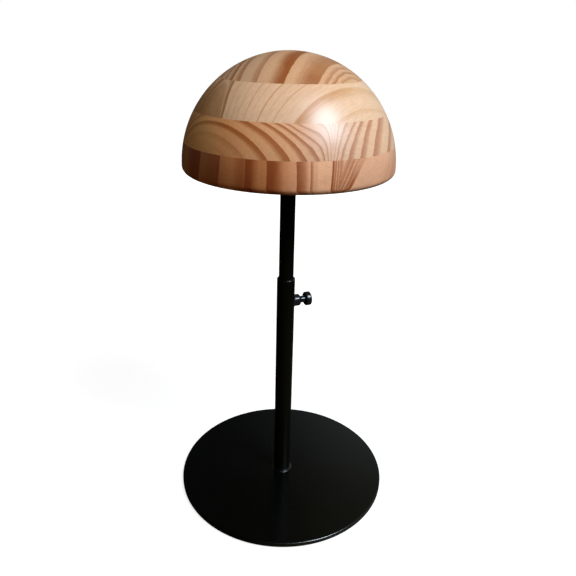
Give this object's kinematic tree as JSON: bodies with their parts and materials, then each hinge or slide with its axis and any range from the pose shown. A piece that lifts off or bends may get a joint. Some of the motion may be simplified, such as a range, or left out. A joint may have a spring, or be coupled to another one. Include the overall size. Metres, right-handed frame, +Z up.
{
  "type": "hat stand",
  "caption": "Tabletop hat stand: a laminated wooden half-ball crown on a telescopic steel pole with a thumb screw and a round flat metal base.",
  "frame": {"origin": "on the surface that the stand rests on, under the middle of the pole, which is the bottom centre of the whole stand", "axes": "+Z up along the pole; +X along the clamp screw of the pole, towards its head"},
  "size_m": [0.2, 0.2, 0.4022],
  "materials": {
    "black_steel": "semi-gloss black lacquer",
    "zinc_steel": "bright zinc plate",
    "foot_rubber": "matt black rubber",
    "nylon": "natural nylon",
    "pine": "satin clear lacquer on pine"
  },
  "bodies": {
    "base": {"base_plate": "black_steel", "foot_pad_1": "foot_rubber", "foot_pad_2": "foot_rubber", "foot_pad_3": "foot_rubber", "foot_pad_4": "foot_rubber", "base_screw": "zinc_steel", "tube_foot_plug": "zinc_steel", "lower_tube": "black_steel", "clamp_boss": "black_steel"},
    "clamp_tip": {"clamp_tip": "nylon"},
    "clamp_screw": {"clamp_screw": "black_steel"},
    "guide": {"guide_bush": "nylon"},
    "head": {"upper_tube": "black_steel", "tube_top_plug": "zinc_steel", "head_stud": "zinc_steel", "head_flange": "black_steel", "flange_nut": "zinc_steel", "flange_screw_1": "zinc_steel", "flange_screw_2": "zinc_steel", "flange_screw_3": "zinc_steel", "flange_screw_4": "zinc_steel", "crown_board_1": "pine", "crown_board_2": "pine", "crown_board_3": "pine", "crown_board_4": "pine"}
  },
  "joints": [
    {"name": "height_slide", "type": "slide", "parent": "base", "child": "guide", "axis": [0, 0, 1], "range_m": [-0.088, 0.047]},
    {"name": "head_swivel", "type": "hinge", "parent": "guide", "child": "head", "pos_m": [0, 0, 0.3], "axis": [0, 0, 1], "continuous": true},
    {"name": "clamp_travel", "type": "slide", "parent": "base", "child": "clamp_tip", "axis": [1, 0, 0], "range_m": [0, 0.002]},
    {"name": "clamp_turn", "type": "hinge", "parent": "clamp_tip", "child": "clamp_screw", "pos_m": [0, 0, 0.1924], "axis": [1, 0, 0], "range_deg": [0, 720]}
  ],
  "couplings": [
    {"joint": "clamp_travel", "follows": "clamp_turn", "m_per_rad": 0.00015915}
  ]
}
